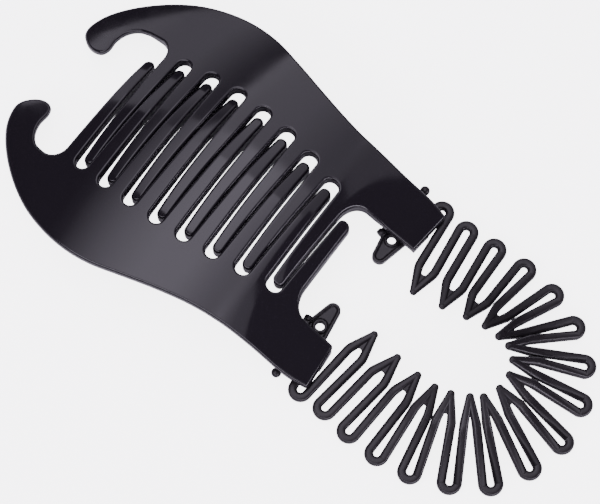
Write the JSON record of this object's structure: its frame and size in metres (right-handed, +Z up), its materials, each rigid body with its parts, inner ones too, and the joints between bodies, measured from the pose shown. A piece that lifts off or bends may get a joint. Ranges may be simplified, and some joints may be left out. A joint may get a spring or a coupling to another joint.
{
  "type": "interlocking banana hair clip",
  "caption": "Closed arched comb clip whose two toothed halves interlock and hinge on the end pins of a zigzag stretch band.",
  "frame": {"origin": "centre of the closed clip's overall box, on the surface that it lies on", "axes": "+X from the hooks to the end of the band, +Y across to the right half, +Z up out of the arch"},
  "size_m": [0.189, 0.087, 0.0207],
  "materials": {
    "comb_plastic": "polished black moulding",
    "band_plastic": "satin black moulding"
  },
  "bodies": {
    "band": {"stretch_band": "band_plastic"},
    "left_half": {"comb_half_left": "comb_plastic"},
    "right_half": {"comb_half_right": "comb_plastic"}
  },
  "joints": [
    {"name": "left_hinge", "type": "hinge", "parent": "band", "child": "left_half", "pos_m": [0.0153, -0.025, 0.0015], "axis": [0.1201, -0.9928, 0], "range_deg": [0, 20]},
    {"name": "right_hinge", "type": "hinge", "parent": "band", "child": "right_half", "pos_m": [0.0161, 0.025, 0.0015], "axis": [-0.1201, -0.9928, 0], "range_deg": [0, 20]}
  ],
  "couplings": [
    {"joint": "right_hinge", "follows": "left_hinge", "ratio": 1}
  ]
}
